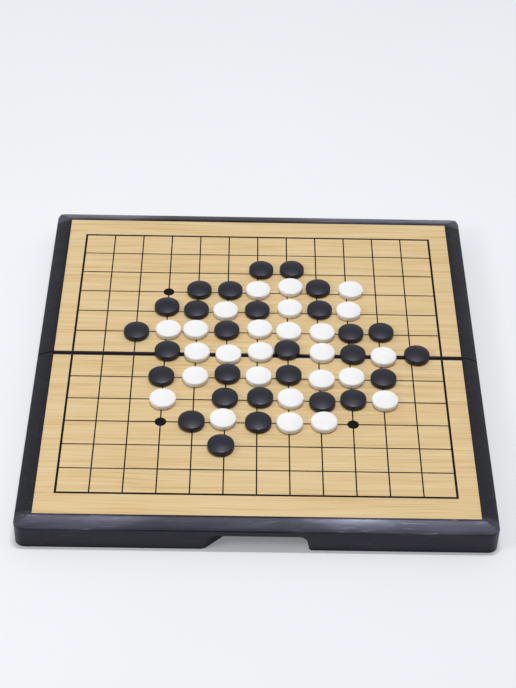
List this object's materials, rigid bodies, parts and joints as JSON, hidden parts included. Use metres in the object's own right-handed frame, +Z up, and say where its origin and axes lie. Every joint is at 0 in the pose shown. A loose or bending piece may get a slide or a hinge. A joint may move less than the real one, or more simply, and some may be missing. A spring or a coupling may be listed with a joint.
{
  "type": "folding magnetic go board with stone drawers",
  "caption": "Folding 13 by 13 line magnetic go board in two hinged half cases, each with a printed playing sheet, a finger notch and a sliding stone drawer, with stones in play.",
  "frame": {"origin": "on the table under the middle of the fold, at the centre of the open board's footprint", "axes": "+Z up from the table, +X to the right along the fold, +Y towards the far half"},
  "size_m": [0.2576, 0.2668, 0.0213],
  "materials": {
    "case": "fine moulded texture",
    "cover": "fine moulded texture",
    "steel": "cold rolled",
    "sheet": "printed film, matt laminate",
    "ink": "screen print",
    "drawer": "fine moulded texture",
    "screw": "black zinc",
    "magnet": "plated",
    "link": "moulded acetal",
    "pin": "drawn wire",
    "black_stone": "satin",
    "white_stone": "satin"
  },
  "bodies": {
    "near_half": {"near_frame": "case", "near_bottom_cover": "cover", "near_steel_plate": "steel", "near_board_sheet": "sheet", "near_grid_lines": "ink", "near_cover_screws": "screw", "near_closing_magnets": "magnet", "near_black_stones": "black_stone", "near_black_stone_magnets": "magnet", "near_white_stones": "white_stone", "near_white_stone_magnets": "magnet"},
    "hinge_links": {"left_hinge_link": "link", "right_hinge_link": "link", "near_hinge_pins": "pin", "far_hinge_pins": "pin"},
    "far_half": {"far_frame": "case", "far_bottom_cover": "cover", "far_steel_plate": "steel", "far_board_sheet": "sheet", "far_grid_lines": "ink", "far_cover_screws": "screw", "far_closing_magnets": "magnet", "far_black_stones": "black_stone", "far_black_stone_magnets": "magnet", "far_white_stones": "white_stone", "far_white_stone_magnets": "magnet"},
    "near_drawer": {"near_drawer": "drawer"},
    "far_drawer": {"far_drawer": "drawer"},
    "front_black_stone": {"front_black_stone": "black_stone", "front_black_stone_magnet": "magnet"},
    "front_white_stone": {"front_white_stone": "white_stone", "front_white_stone_magnet": "magnet"}
  },
  "joints": [
    {"name": "near_fold", "type": "hinge", "parent": "near_half", "child": "hinge_links", "pos_m": [0, -0.00335, 0.003], "axis": [-1, 0, 0], "range_deg": [0, 90]},
    {"name": "far_fold", "type": "hinge", "parent": "hinge_links", "child": "far_half", "pos_m": [0, 0.00335, 0.003], "axis": [-1, 0, 0], "range_deg": [0, 90]},
    {"name": "near_drawer_slide", "type": "slide", "parent": "near_half", "child": "near_drawer", "axis": [1, 0, 0], "range_m": [0, 0.128]},
    {"name": "far_drawer_slide", "type": "slide", "parent": "far_half", "child": "far_drawer", "axis": [-1, 0, 0], "range_m": [0, 0.128]},
    {"name": "front_black_stone_lift", "type": "slide", "parent": "near_half", "child": "front_black_stone", "axis": [0, 0, 1], "range_m": [0, 0.03]},
    {"name": "front_white_stone_lift", "type": "slide", "parent": "near_half", "child": "front_white_stone", "axis": [0, 0, 1], "range_m": [0, 0.03]}
  ]
}
